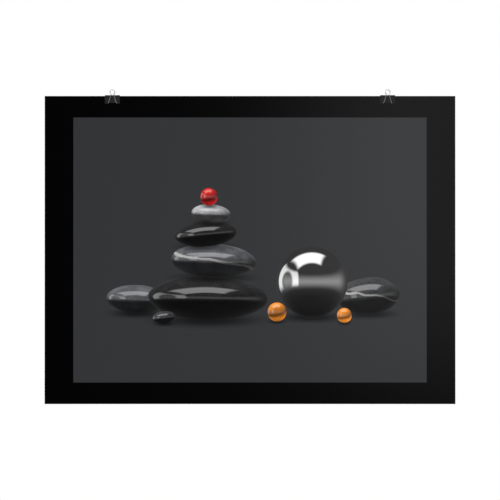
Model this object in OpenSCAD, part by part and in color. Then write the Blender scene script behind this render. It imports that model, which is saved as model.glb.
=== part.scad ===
// Landscape paper poster that hangs by its top edge from a pair of fold-back clips.
// A clip is one formed strip of spring steel: a flat spine, two jaws that close on the paper,
// and curls rolled outwards along the jaws. Each jaw's curls hold the feet of a bent-wire lever.
// Frame: X along the sheet's width, Y from front to back, Z up. The printed face looks along -Y.
// The origin is on the hanging line, midway between the clips and level with the levers' eyes.

/* [Sheet] */
// Width of the paper sheet
sheet_w = 609.6; // [480:0.1:1000]
// Height of the paper sheet
sheet_h = 457.2; // [200:0.1:1000]
// Thickness of the paper
sheet_t = 0.25; // [0.15:0.01:0.5]

/* [Clips] */
// Distance from each side of the sheet to the middle of its clip
clip_inset = 100.5; // [30:0.1:200]
// Width of a clip along the sheet's edge
clip_w = 22; // [20:0.5:27]
// Height of a clip, from the top of its spine to the foot of its curls
clip_h = 12.4; // [10:0.1:16]
// Depth of a clip's spine, from front to back
spine_d = 8.4; // [6:0.1:11]
// Thickness of the spring steel
steel_t = 0.4; // [0.25:0.05:0.6]
// Inside radius of the two bends beside the spine
spine_bend_r = 0.6; // [0.3:0.1:1]
// Length of each curl along the jaw
curl_len = 4.4; // [3:0.1:5]
// Turn of a curl from the jaw round a lever's foot, in degrees
curl_turn = 285; // [240:5:295]
// Gap between the sheet's top edge and the inside of the spine
headroom = 0.8; // [0.2:0.1:3]

/* [Levers] */
// Diameter of the lever wire
wire_d = 0.8; // [0.7:0.1:1.4]
// Play all round a lever's foot in its curl
curl_play = 0.08; // [0.04:0.01:0.1]
// Height of the eyes' middles above the top of the spine
eye_rise = 4.7; // [4.6:0.1:12]
// Radius of an eye, to the middle of its wire
eye_r = 3.6; // [2.6:0.1:4]
// Radius of the bend between an eye and a leg, to the middle of its wire
neck_r = 2; // [1.4:0.1:3]
// Radius of the bend between a leg and its foot, to the middle of its wire
ankle_r = 0.8; // [0.8:0.1:1.8]
// Lean of each leg towards the middle of its lever, in degrees
leg_lean = 16; // [12:0.5:17]
// Distance that a foot stops short of the outer end of its curl
foot_recess = 0.8; // [0.2:0.1:1.5]

/* [Hidden] */
$fn = 64;

// Room left between a jaw and the paper that it grips
grip_gap = 0.02;
// Room along the wire between the end of a curl and the start of an ankle's bend
ankle_gap = 0.2;
// Forming draws the steel and the wire thinner in their tight bends by this much
bend_thinning = 0.02;
// Length of a thinned bend that lies inside the full thickness at each of its ends
bend_lap = 0.05;
function lap_angle(radius) = bend_lap / radius * 180 / PI;

// Signs of the two clips along X and of the two faces of a clip along Y
LEFT = -1;
RIGHT = 1;
FRONT = -1;
REAR = 1;

clip_spacing = sheet_w - 2 * clip_inset;

// Heights, down from the eyes on the hanging line
spine_top_z = -eye_rise;
sheet_top_z = spine_top_z - steel_t - headroom;

// Section of a clip's rear half. A point is [distance from the paper's middle plane, height]
curl_ri = wire_d / 2 + curl_play;
curl_ro = curl_ri + steel_t;
bend_ro = spine_bend_r + steel_t;
curl_mid = [sheet_t / 2 + grip_gap + curl_ro, spine_top_z - clip_h + curl_ro];
bend_mid = [spine_d / 2 - bend_ro, spine_top_z - bend_ro];

// A jaw is flat: its inner face is tangent to the outside of the curl and the inside of the bend
between = bend_mid - curl_mid;
jaw_lean = atan2(between.x, between.y) + asin((curl_ro + spine_bend_r) / norm(between));
jaw_len = sqrt(between * between - pow(curl_ro + spine_bend_r, 2));

// Plan of a lever's right half, flat, as [distance from its middle, height above its feet]
curl_inner_x = clip_w / 2 - curl_len;
ankle_mid = [curl_inner_x - ankle_gap, ankle_r];
leg_up = [-sin(leg_lean), cos(leg_lean)];
leg_out = [cos(leg_lean), sin(leg_lean)];
leg_foot = ankle_mid - ankle_r * leg_out;
eye_mid = [0, -curl_mid.y / cos(jaw_lean)];

// The neck's bend touches the leg's line and the eye's circle
neck_from_eye = leg_foot + neck_r * leg_out - eye_mid;
neck_rise = -neck_from_eye * leg_up
    - sqrt(pow(neck_from_eye * leg_up, 2) - neck_from_eye * neck_from_eye + pow(eye_r + neck_r, 2));
neck_mid = eye_mid + neck_from_eye + neck_rise * leg_up;
leg_top = neck_mid - neck_r * leg_out;
neck_slope = atan2(eye_mid.y - neck_mid.y, neck_mid.x);

module poster_sheet() {
    color("#121213")
    translate([-sheet_w / 2, -sheet_t / 2, sheet_top_z - sheet_h])
        cube([sheet_w, sheet_t, sheet_h]);
}

// Everything between two directions from the origin that are less than a half turn apart
module wedge(from, to) {
    reach = 10 * curl_ro;
    middle = (from + to) / 2;
    polygon([
        [0, 0],
        reach * [cos(from), sin(from)],
        reach * [cos(middle), sin(middle)],
        reach * [cos(to), sin(to)],
    ]);
}

// A ring of bent strip about the origin
module strip_ring(inner_r) {
    difference() {
        circle(r = inner_r + steel_t - bend_thinning / 2);
        circle(r = inner_r + bend_thinning / 2);
    }
}

// Rear half of the strip's section below the spine: a bend and a jaw
module jaw_section() {
    lap = lap_angle(spine_bend_r);
    translate(bend_mid)
        intersection() {
            strip_ring(spine_bend_r);
            wedge(-jaw_lean - lap, 90 + lap);
        }
    translate(curl_mid)
        rotate(-jaw_lean)
            translate([-curl_ro, 0])
                square([steel_t, jaw_len]);
}

// Section of a curl, rolled outwards from the end of the rear jaw
module curl_section() {
    start = 180 - jaw_lean;
    translate(curl_mid)
        difference() {
            strip_ring(curl_ri);
            wedge(start + curl_turn, start + 360 - lap_angle(curl_ri));
        }
}

// Draws a section along X from a distance beside the clip's middle
module along_clip(from_x, length) {
    translate([from_x, 0, 0])
        rotate([90, 0, 90])
            linear_extrude(length)
                children();
}

module clip_spring(side) {
    color("#26272a")
    translate([side * clip_spacing / 2, 0, 0]) {
        along_clip(-clip_w / 2, clip_w)
            translate([-bend_mid.x, spine_top_z - steel_t])
                square([2 * bend_mid.x, steel_t]);
        for (flip = [0, 1])
            mirror([0, flip, 0]) {
                along_clip(-clip_w / 2, clip_w) jaw_section();
                along_clip(-clip_w / 2, curl_len) curl_section();
                along_clip(curl_inner_x, curl_len) curl_section();
            }
    }
}

// An arc of wire about a point of the lever's plan
module wire_arc(middle, radius, from, to, d) {
    translate([middle.x, 0, middle.y])
        rotate([90, 0, 0])
            rotate(from)
                rotate_extrude(angle = to - from)
                    translate([radius, 0])
                        circle(d = d);
}

// A tight bend, which laps into the wire at both of its ends
module tight_bend(middle, radius, from, to) {
    lap = lap_angle(radius);
    wire_arc(middle, radius, from - lap, to + lap, wire_d - bend_thinning);
}

module lever_half() {
    foot_end_x = clip_w / 2 - foot_recess;
    translate([ankle_mid.x, 0, 0])
        rotate([0, 90, 0])
            cylinder(d = wire_d, h = foot_end_x - ankle_mid.x);
    tight_bend(ankle_mid, ankle_r, 180 + leg_lean, 270);
    translate([leg_foot.x, 0, leg_foot.y])
        rotate([0, -leg_lean, 0])
            cylinder(d = wire_d, h = norm(leg_top - leg_foot));
    tight_bend(neck_mid, neck_r, 180 - neck_slope, 180 + leg_lean);
}

module lever(side, face) {
    color("silver")
    translate([side * clip_spacing / 2, face * curl_mid.x, curl_mid.y])
        rotate([-face * jaw_lean, 0, 0]) {
            lever_half();
            mirror([1, 0, 0]) lever_half();
            wire_arc(eye_mid, eye_r, -neck_slope, 180 + neck_slope, wire_d);
        }
}

poster_sheet();
clip_spring(LEFT);  // left_clip_spring
lever(LEFT, FRONT);  // left_front_lever
lever(LEFT, REAR);  // left_rear_lever
clip_spring(RIGHT);  // right_clip_spring
lever(RIGHT, FRONT);  // right_front_lever
lever(RIGHT, REAR);  // right_rear_lever
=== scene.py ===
"""A printed paper poster that hangs from two fold-back clips: its finishes, light and camera."""

import math

import bmesh
import bpy
from mathutils import Matrix, Vector


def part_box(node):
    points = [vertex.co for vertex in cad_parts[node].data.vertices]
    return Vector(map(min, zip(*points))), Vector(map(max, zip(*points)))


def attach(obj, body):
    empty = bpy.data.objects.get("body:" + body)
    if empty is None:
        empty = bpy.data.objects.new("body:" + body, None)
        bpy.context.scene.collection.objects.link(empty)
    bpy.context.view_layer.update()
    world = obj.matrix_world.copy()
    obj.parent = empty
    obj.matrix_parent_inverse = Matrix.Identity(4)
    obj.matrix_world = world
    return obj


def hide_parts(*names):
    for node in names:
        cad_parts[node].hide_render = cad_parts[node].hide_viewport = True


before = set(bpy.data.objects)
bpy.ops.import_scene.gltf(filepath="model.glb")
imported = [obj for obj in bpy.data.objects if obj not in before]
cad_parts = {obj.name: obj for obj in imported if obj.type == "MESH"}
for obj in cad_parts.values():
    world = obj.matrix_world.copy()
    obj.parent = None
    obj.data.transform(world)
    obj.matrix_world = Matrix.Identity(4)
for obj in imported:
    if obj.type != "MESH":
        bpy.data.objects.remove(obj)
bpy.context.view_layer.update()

MM = 0.001

# Places and sizes from the frame, in metres
SHEET_LOW, SHEET_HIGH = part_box("poster_sheet")
SHEET_MID = (SHEET_LOW + SHEET_HIGH) / 2
SHEET_W, SHEET_T, SHEET_H = SHEET_HIGH - SHEET_LOW
CLIP_BOXES = [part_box("left_clip_spring"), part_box("right_clip_spring")]
CLIP_MIDDLES = [(low + high) / 2 for low, high in CLIP_BOXES]
CLIP_LOW, CLIP_HIGH = CLIP_BOXES[0]
CLIP_W = CLIP_HIGH.x - CLIP_LOW.x
CLIP_H = CLIP_HIGH.z - CLIP_LOW.z
SPRINGS = ["left_clip_spring", "right_clip_spring"]
LEVERS = ["left_front_lever", "left_rear_lever", "right_front_lever", "right_rear_lever"]

# The print: a panel in the middle of the sheet, of the sheet's own proportions
PANEL_SHARE = 0.8603
BORDER_INK = (0.0004, 0.0004, 0.0004, 1)
PANEL_INK = (0.0314, 0.0325, 0.0350, 1)
INK_SHEEN = 0.0075
BARE_PAPER = (0.80, 0.80, 0.78, 1)

# The clips
ENAMEL = (0.0065, 0.0065, 0.0073, 1)
PALER_ENAMEL = (0.009, 0.009, 0.0098, 1)
BARE_STEEL = (0.42, 0.42, 0.43, 1)
LEG_NICKEL = (0.29, 0.285, 0.275, 1)
EYE_NICKEL = (0.46, 0.455, 0.44, 1)

# The studio, in metres and watts. The tall key light leaves a faint sheen on the right of the print
KEY_PLACE, KEY_WIDTH, KEY_HEIGHT, KEY_WATTS = (0.376, -2.59, 0.03), 0.38, 0.97, 48.9
BACK_PLACE, BACK_SIDE, BACK_WATTS = (-0.8, 1.8, 0.6), 1.2, 28
FILL_LEVEL = 0.35
FLOOR_DROP, FLOOR_RADIUS = 0.55, 1.2
FLOOR_GREY = (0.88, 0.88, 0.88, 1)

# The camera: its distance in metres, and the picture's and the sheet's widths in pixels
CAMERA_DISTANCE = 5.0
SENSOR_MM = 36
FRAME_PX, SHEET_PX = 500, 410.6


class Wiring:
    """Adds nodes to one tree. An input takes a socket, which is linked, or a value, which is set."""

    def __init__(self, tree):
        self.tree = tree

    def node(self, kind, inputs=None, **settings):
        made = self.tree.nodes.new(kind)
        for name, value in settings.items():
            setattr(made, name, value)
        for key, value in (inputs or {}).items():
            self.feed(made.inputs[key], value)
        return made

    def feed(self, socket, value):
        if isinstance(value, bpy.types.NodeSocket):
            self.tree.links.new(value, socket)
        else:
            socket.default_value = value

    def math(self, operation, *values):
        return self.node("ShaderNodeMath", dict(enumerate(values)), operation=operation).outputs[0]

    def vector(self, operation, *values):
        made = self.node("ShaderNodeVectorMath", dict(enumerate(values)), operation=operation)
        return made.outputs["Value" if operation in ("DOT_PRODUCT", "LENGTH") else "Vector"]

    def add(self, a, b):
        return self.math("ADD", a, b)

    def times(self, a, b):
        return self.math("MULTIPLY", a, b)

    def ramp(self, value, start, end, low=0.0, high=1.0):
        """Goes smoothly from low, where value is at start, to high, where it is at end, and stays there."""
        inputs = {"Value": value, "From Min": start, "From Max": end, "To Min": low, "To Max": high}
        made = self.node("ShaderNodeMapRange", inputs, interpolation_type="SMOOTHSTEP", clamp=False)
        return made.outputs[0]

    def mix(self, share, a, b, blend="MIX"):
        made = self.node("ShaderNodeMix", data_type="RGBA", blend_type=blend)
        sockets = {s.identifier: s for s in made.inputs}
        self.feed(sockets["Factor_Float"], share)
        self.feed(sockets["A_Color"], a)
        self.feed(sockets["B_Color"], b)
        return next(s for s in made.outputs if s.identifier == "Result_Color")

    def shaded(self, colour, level):
        return self.mix(1.0, colour, self.joined(level, level, level), "MULTIPLY")

    def scaled(self, vector, factor):
        made = self.node("ShaderNodeVectorMath", {0: vector, "Scale": factor}, operation="SCALE")
        return made.outputs[0]

    def parts(self, vector):
        return self.node("ShaderNodeSeparateXYZ", {0: vector}).outputs

    def joined(self, x, y, z):
        return self.node("ShaderNodeCombineXYZ", {0: x, 1: y, 2: z}).outputs[0]

    def noise(self, vector, scale, detail=2.0, roughness=0.5):
        inputs = {"Vector": vector, "Scale": scale, "Detail": detail, "Roughness": roughness}
        return self.node("ShaderNodeTexNoise", inputs).outputs["Fac"]

    def millimetres(self, middle):
        """The piece's own coordinates in millimetres from a point."""
        place = self.node("ShaderNodeTexCoord").outputs["Object"]
        inputs = {"Vector": place, "Location": -middle / MM, "Scale": (1 / MM, 1 / MM, 1 / MM)}
        return self.node("ShaderNodeMapping", inputs).outputs[0]

    def across_face(self, position, x, z, half_w, half_h, tilt=0):
        """Place on an upright oval, a unit from its middle to its rim each way. The tilt is in degrees."""
        inputs = {
            "Vector": position, "Location": (x, 0, z), "Rotation": (0, math.radians(tilt), 0),
            "Scale": (half_w, 1, half_h),
        }
        place = self.node("ShaderNodeMapping", inputs, vector_type="TEXTURE").outputs[0]
        return self.vector("MULTIPLY", place, (1, 0, 1))


def new_material(name):
    """A material with only its output and shader, and the wiring of its tree."""
    material = bpy.data.materials.new(name)
    material.use_nodes = True
    wiring = Wiring(material.node_tree)
    return material, wiring, material.node_tree.nodes["Principled BSDF"]


def bump(wiring, shader, height, distance, strength):
    inputs = {"Height": height, "Distance": distance, "Strength": strength}
    wiring.feed(shader.inputs["Normal"], wiring.node("ShaderNodeBump", inputs).outputs[0])


def new_object(name, bm, *materials):
    """An object in the scene, at the origin, made from a bmesh."""
    mesh = bpy.data.meshes.new(name)
    bm.to_mesh(mesh)
    bm.free()
    for material in materials:
        mesh.materials.append(material)
    made = bpy.data.objects.new(name, mesh)
    bpy.context.scene.collection.objects.link(made)
    return made


# Still life on the print: polished stones, a steel ball and glass beads, in millimetres from the middle

GROUND = -100.0
BLACK = (0.010, 0.010, 0.011)
CHARCOAL = (0.030, 0.031, 0.034)
SLATE = (0.075, 0.078, 0.085)
PALE_GREY = (0.30, 0.30, 0.31)
STEEL = (0.80, 0.81, 0.83)
RED = (0.42, 0.012, 0.010)
AMBER = (0.62, 0.20, 0.018)
QUARTZ = (0.42, 0.41, 0.40)

# What a piece looks like: how much of a mirror it is, its mineral grains, and the glow through its glass
STONE, FINE_STONE, MIRROR, GLASS = (0, 1, 0), (0, 0.5, 0), (1, 0, 0), (0, 0, 1)

# From back to front. Columns: middle x, foot z, half width, half height, tilt in degrees, colour, look,
# and the half width of a quartz band as a share of the half height
STILL_LIFE = [
    (-168, GROUND + 6, 44, 21, 3, SLATE, STONE, 0),
    (176, GROUND + 5, 47, 27, -4, CHARCOAL, STONE, 0.05),
    (92, GROUND, 53, 53, 0, STEEL, MIRROR, 0),
    (-62, GROUND - 4, 88, 33, 1, BLACK, FINE_STONE, 0),
    (-54, GROUND + 59, 64, 25, 3, SLATE, STONE, 0.07),
    (-66, GROUND + 105, 46, 19, -5, BLACK, FINE_STONE, 0),
    (-58, GROUND + 140, 29, 14, 4, PALE_GREY, STONE, 0),
    (-61, GROUND + 166, 13, 13, 0, RED, GLASS, 0),
    (40, GROUND - 6, 14, 14, 0, AMBER, GLASS, 0),
    (140, GROUND - 8, 11, 11, 0, AMBER, GLASS, 0),
    (-128, GROUND - 9, 17, 9, -6, CHARCOAL, STONE, 0),
]
UNEVENNESS = 0.14
TOWARDS_LIGHT = (-0.25, 0.38, 0.89)


def still_life(w, position):
    """The picture in the panel. Each point takes the values of the front piece there, and is then lit."""
    wobble = w.math("SUBTRACT", w.noise(position, scale=0.02, detail=1.0), 0.5)
    face, sizes, look, colour = (0, 0, 0, 1), (1, 1, 0, 1), (0, 0, 0, 1), (0, 0, 0, 1)
    covered, shade = 0.0, 1.0
    for x, foot_z, half_w, half_h, tilt, own_colour, own_look, band in STILL_LIFE:
        own_face = w.across_face(position, x, foot_z + half_h, half_w, half_h, tilt)
        round_piece = half_w == half_h
        if not round_piece:
            own_face = w.scaled(own_face, w.add(1.0, w.times(UNEVENNESS, wobble)))
        inside = w.math("LESS_THAN", w.vector("LENGTH", own_face), 1.0)
        face = w.mix(inside, face, own_face)
        sizes = w.mix(inside, sizes, (half_w, half_h, band, 1))
        look = w.mix(inside, look, (*own_look, 1))
        colour = w.mix(inside, colour, (*own_colour, 1))
        covered = w.math("MAXIMUM", covered, inside)

        # Soft shadow of its foot on what lies behind and below
        off_foot = w.across_face(position, x, foot_z, 0.95 * half_w, 3 + 0.1 * half_w)
        foot_shade = w.ramp(w.vector("LENGTH", off_foot), 0.2, 1.3, low=0.25, high=1.0)
        shade = w.math("MAXIMUM", inside, w.times(shade, foot_shade))
    lit = lit_piece(w, position, face, sizes, look, colour)
    return w.shaded(w.mix(covered, PANEL_INK, lit), shade)


def lit_piece(w, position, face, sizes, look, colour):
    """Colour of a polished piece under a studio's lights."""
    across, _, up = w.parts(face)
    half_w, half_h, half_band = w.parts(sizes)
    mirror, grain, glow = w.parts(look)
    towards2 = w.math("SUBTRACT", 1.0, w.vector("DOT_PRODUCT", face, face))
    towards = w.math("SQRT", w.math("MAXIMUM", 0.0, towards2))

    # Normal of the flattened form, with Y towards the viewer, and the mirror direction off it
    flatness = w.math("DIVIDE", half_h, half_w)
    bulge = w.joined(w.times(across, flatness), w.times(towards, flatness), up)
    normal = w.vector("NORMALIZE", bulge)
    facing = w.parts(normal)[1]
    mirrored = w.vector("SUBTRACT", w.scaled(normal, w.times(2.0, facing)), (0, 1, 0))
    mirror_x, mirror_y, mirror_z = w.parts(mirrored)

    # What the studio shows in that direction: a soft box overhead, a strip on the left, a glow low down
    box_width = w.ramp(w.math("ABSOLUTE", w.add(mirror_x, 0.12)), 0.62, 0.46)
    box_depth = w.times(w.ramp(mirror_y, -0.42, -0.22), w.ramp(mirror_y, 0.52, 0.36))
    soft_box = w.times(w.times(box_width, box_depth), w.ramp(mirror_z, 0.1, 0.3))
    strip_width = w.times(w.ramp(mirror_x, -0.66, -0.74), w.ramp(mirror_x, -0.95, -0.88))
    strip_height = w.times(w.ramp(mirror_z, -0.3, -0.1), w.ramp(mirror_z, 0.55, 0.4))
    strip = w.times(strip_width, strip_height)
    near_level = w.ramp(w.math("ABSOLUTE", mirror_z), 0.45, 0.0)
    low_glow = w.times(near_level, w.ramp(mirror_y, -0.9, 0.0, low=0.01, high=0.22))
    studio = w.add(w.add(0.03, low_glow), w.add(soft_box, w.times(0.7, strip)))
    studio = w.times(studio, w.ramp(mirror_z, -0.9, 0.05, low=0.25, high=1.0))

    # Gloss grows towards the rim
    rim = w.math("POWER", w.math("SUBTRACT", 1.0, facing), 4.0)
    least = w.ramp(mirror, 0.0, 1.0, low=0.16, high=0.88)
    gloss = w.add(least, w.times(w.math("SUBTRACT", 1.0, least), w.times(rim, 0.7)))

    # The piece's own colour, with mineral grains and a quartz band
    x, _, z = w.parts(position)
    inner = w.joined(x, w.times(towards, half_w), z)
    grain_noise = w.noise(inner, scale=0.75, detail=3.0, roughness=0.7)
    grains = w.times(grain, w.ramp(grain_noise, 0.52, 0.72))
    clouds = w.ramp(w.noise(inner, scale=0.045, detail=3.0), 0.3, 0.7, low=0.65, high=1.25)
    wander = w.times(0.5, w.math("SUBTRACT", w.noise(inner, scale=0.03, detail=3.0), 0.5))
    from_band = w.math("ABSOLUTE", w.add(w.add(w.times(across, 0.35), up), wander))
    band = w.math("LESS_THAN", from_band, half_band)
    colour = w.shaded(colour, clouds)
    colour = w.mix(w.times(grains, 0.35), colour, (*PALE_GREY, 1))
    colour = w.mix(w.times(band, 0.8), colour, (*QUARTZ, 1))

    # Light from above and in front, and light that passes through glass to its far side
    key = w.vector("DOT_PRODUCT", normal, TOWARDS_LIGHT)
    light = w.add(0.10, w.times(1.25, w.math("MAXIMUM", 0.0, key)))
    through = w.times(w.times(glow, 2.2), w.math("MAXIMUM", 0.0, w.math("SUBTRACT", 0.05, key)))
    light = w.times(w.add(light, through), w.math("SUBTRACT", 1.0, mirror))
    shine = w.times(studio, gloss)
    lit = w.mix(1.0, w.shaded(colour, light), w.joined(shine, shine, shine), "ADD")
    return w.shaded(lit, w.ramp(up, -1.0, -0.55, low=0.35, high=1.0))


def printed_paper():
    """Ink on the sheet's front: a black border round a dark panel with its picture."""
    material, w, shader = new_material("printed_paper")
    place = w.millimetres(SHEET_MID)
    x, _, z = w.parts(place)
    off_x, off_z = w.math("ABSOLUTE", x), w.math("ABSOLUTE", z)

    edge_blur = 0.2
    half_w, half_h = PANEL_SHARE * SHEET_W / 2 / MM, PANEL_SHARE * SHEET_H / 2 / MM
    in_width = w.ramp(off_x, half_w + edge_blur, half_w - edge_blur)
    in_height = w.ramp(off_z, half_h + edge_blur, half_h - edge_blur)
    print_colour = w.mix(w.times(in_width, in_height), BORDER_INK, still_life(w, place))

    # Ink lies a little unevenly
    mottle = w.ramp(w.noise(place, scale=1.8, detail=3.0), 0.3, 0.7, low=0.94, high=1.06)
    w.feed(shader.inputs["Base Color"], w.shaded(print_colour, mottle))

    tooth = w.noise(place, scale=3.0, detail=4.0, roughness=0.6)
    w.feed(shader.inputs["Roughness"], w.ramp(tooth, 0.2, 0.8, low=0.2, high=0.245))
    shader.inputs["Specular IOR Level"].default_value = INK_SHEEN
    bump(w, shader, tooth, distance=0.02 * MM, strength=0.25)
    return material


def bare_paper():
    """White stock on the sheet's back and cut edges."""
    material, w, shader = new_material("bare_paper")
    place = w.millimetres(SHEET_MID)
    fibres = w.noise(place, scale=1.2, detail=5.0, roughness=0.65)
    cloudy = w.noise(place, scale=0.04, detail=3.0)
    fibre_tone = w.ramp(fibres, 0.3, 0.7, low=0.97, high=1.02)
    cloud_tone = w.ramp(cloudy, 0.3, 0.7, low=0.985, high=1.015)
    w.feed(shader.inputs["Base Color"], w.shaded(BARE_PAPER, w.times(fibre_tone, cloud_tone)))
    w.feed(shader.inputs["Roughness"], w.ramp(fibres, 0.3, 0.7, low=0.78, high=0.9))
    shader.inputs["Specular IOR Level"].default_value = 0.2
    bump(w, shader, fibres, distance=0.03 * MM, strength=0.4)
    return material


def black_enamel(clip_middle):
    """Baked black enamel on a clip's spring, rubbed through here and there on the cut ends."""
    material, w, shader = new_material("black_enamel")
    place = w.millimetres(clip_middle)
    x = w.parts(place)[0]
    peel = w.noise(place, scale=1.4, detail=2.0)
    scuffs = w.noise(place, scale=0.9, detail=4.0, roughness=0.7)
    half_w, worn_end = CLIP_W / 2 / MM, 0.4
    near_end = w.ramp(w.math("ABSOLUTE", x), half_w - worn_end, half_w)
    rubbed = w.times(near_end, w.ramp(scuffs, 0.55, 0.72, low=0.0, high=0.8))
    enamel = w.mix(w.ramp(peel, 0.3, 0.7), ENAMEL, PALER_ENAMEL)
    w.feed(shader.inputs["Base Color"], w.mix(rubbed, enamel, BARE_STEEL))
    w.feed(shader.inputs["Metallic"], rubbed)
    w.feed(shader.inputs["Roughness"], w.ramp(scuffs, 0.3, 0.7, low=0.30, high=0.42))
    shader.inputs["Specular IOR Level"].default_value = 0.15
    bump(w, shader, peel, distance=0.02 * MM, strength=0.3)
    return material


def nickel_wire(clip_middle):
    """Nickel on the levers' wire, rubbed bright at the eyes, with fine drawing marks and dull patches."""
    material, w, shader = new_material("nickel_wire")
    place = w.millimetres(clip_middle)
    dull = w.noise(place, scale=0.35, detail=4.0)
    marks = w.noise(w.vector("MULTIPLY", place, (9.0, 9.0, 1.0)), scale=1.0, detail=2.0)
    above_spine = w.math("SUBTRACT", w.parts(place)[2], CLIP_H / 2 / MM)
    bright = w.mix(w.ramp(above_spine, 0.0, 4.0), LEG_NICKEL, EYE_NICKEL)
    nickel = w.mix(w.ramp(dull, 0.4, 0.7), bright, w.shaded(bright, 0.75))
    w.feed(shader.inputs["Base Color"], nickel)
    shader.inputs["Metallic"].default_value = 1.0
    w.feed(shader.inputs["Roughness"], w.ramp(dull, 0.3, 0.7, low=0.16, high=0.30))
    bump(w, shader, marks, distance=0.01 * MM, strength=0.2)
    return material


def hung_sheet():
    """The paper, with a slight curl forwards at its lower corners."""
    corner_curl, middle_share = 3 * MM, 0.3
    bm = bmesh.new()
    bmesh.ops.create_grid(bm, x_segments=60, y_segments=45, size=0.5)
    place = Matrix.Translation(SHEET_MID)
    stand = Matrix.Rotation(math.radians(90), 4, "X")
    size = Matrix.Diagonal((SHEET_W, SHEET_H, 1, 1))
    bmesh.ops.transform(bm, matrix=place @ stand @ size, verts=bm.verts)
    for vert in bm.verts:
        below_grip = max(0.0, (CLIP_LOW.z - vert.co.z) / (CLIP_LOW.z - SHEET_LOW.z))
        beside = (vert.co.x - SHEET_MID.x) / (SHEET_W / 2)
        curl = corner_curl * below_grip**2 * (middle_share + (1 - middle_share) * beside**2)
        vert.co.y -= SHEET_T / 2 + curl
    bm.normal_update()
    bmesh.ops.solidify(bm, geom=bm.faces[:], thickness=SHEET_T)
    bmesh.ops.recalc_face_normals(bm, faces=bm.faces)

    # The print is on the front, and the back and the cut edges are bare
    for face in bm.faces:
        face.smooth = abs(face.normal.y) > 0.5
        face.material_index = 0 if face.normal.y < -0.5 else 1
    for edge in bm.edges:
        edge.smooth = all(face.smooth for face in edge.link_faces)
    piece = new_object("paper_sheet", bm, printed_paper(), bare_paper())
    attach(piece, "poster")
    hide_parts("poster_sheet")


def finish_clips():
    for spring, middle in zip(SPRINGS, CLIP_MIDDLES):
        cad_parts[spring].material_slots[0].material = black_enamel(middle)
    for lever in LEVERS:
        middle = CLIP_MIDDLES[0 if lever.startswith("left") else 1]
        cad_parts[lever].material_slots[0].material = nickel_wire(middle)


def studio_floor():
    """A pale floor well below the poster, out of the front view."""
    bm = bmesh.new()
    bmesh.ops.create_circle(bm, cap_ends=True, segments=96, radius=FLOOR_RADIUS)
    bmesh.ops.translate(bm, verts=bm.verts, vec=(0, 0, SHEET_LOW.z - FLOOR_DROP))
    material, _, shader = new_material("studio_floor")
    shader.inputs["Base Color"].default_value = FLOOR_GREY
    shader.inputs["Roughness"].default_value = 0.9
    floor = new_object("studio_floor", bm, material)


def studio_world():
    """White to the camera and in reflections, and a soft even fill on everything else."""
    world = bpy.data.worlds.new("studio_world")
    world.use_nodes = True
    bpy.context.scene.world = world
    w = Wiring(world.node_tree)
    path = w.node("ShaderNodeLightPath").outputs
    seen = w.math("MAXIMUM", path["Is Camera Ray"], path["Is Glossy Ray"])
    seen = w.math("MAXIMUM", seen, path["Is Transmission Ray"])
    strength = w.node("ShaderNodeMapRange", {"Value": seen, "To Min": FILL_LEVEL}).outputs[0]
    background = world.node_tree.nodes["Background"]
    background.inputs["Color"].default_value = (1, 1, 1, 1)
    w.feed(background.inputs["Strength"], strength)


def soft_light(name, place, aim, width, height, watts):
    light = bpy.data.lights.new(name, "AREA")
    light.shape = "RECTANGLE"
    light.size = width
    light.size_y = height
    light.energy = watts
    lamp = bpy.data.objects.new(name, light)
    lamp.location = place
    lamp.rotation_euler = (aim - Vector(place)).to_track_quat("-Z", "Y").to_euler()
    bpy.context.scene.collection.objects.link(lamp)


def straight_on_camera():
    """Level with the sheet's middle, with a lens that gives the sheet its share of the picture."""
    data = bpy.data.cameras.new("camera")
    data.sensor_width = SENSOR_MM
    data.lens = data.sensor_width * CAMERA_DISTANCE / (SHEET_W * FRAME_PX / SHEET_PX)
    camera = bpy.data.objects.new("camera", data)
    camera.location = (SHEET_MID.x, SHEET_LOW.y - CAMERA_DISTANCE, SHEET_MID.z)
    camera.rotation_euler = (math.radians(90), 0, 0)
    bpy.context.scene.collection.objects.link(camera)
    bpy.context.scene.camera = camera


hung_sheet()
finish_clips()
studio_floor()
studio_world()
soft_light("key_light", KEY_PLACE, SHEET_MID, KEY_WIDTH, KEY_HEIGHT, KEY_WATTS)
soft_light("back_light", BACK_PLACE, SHEET_MID, BACK_SIDE, BACK_SIDE, BACK_WATTS)
straight_on_camera()
bpy.context.scene.view_settings.view_transform = "Standard"
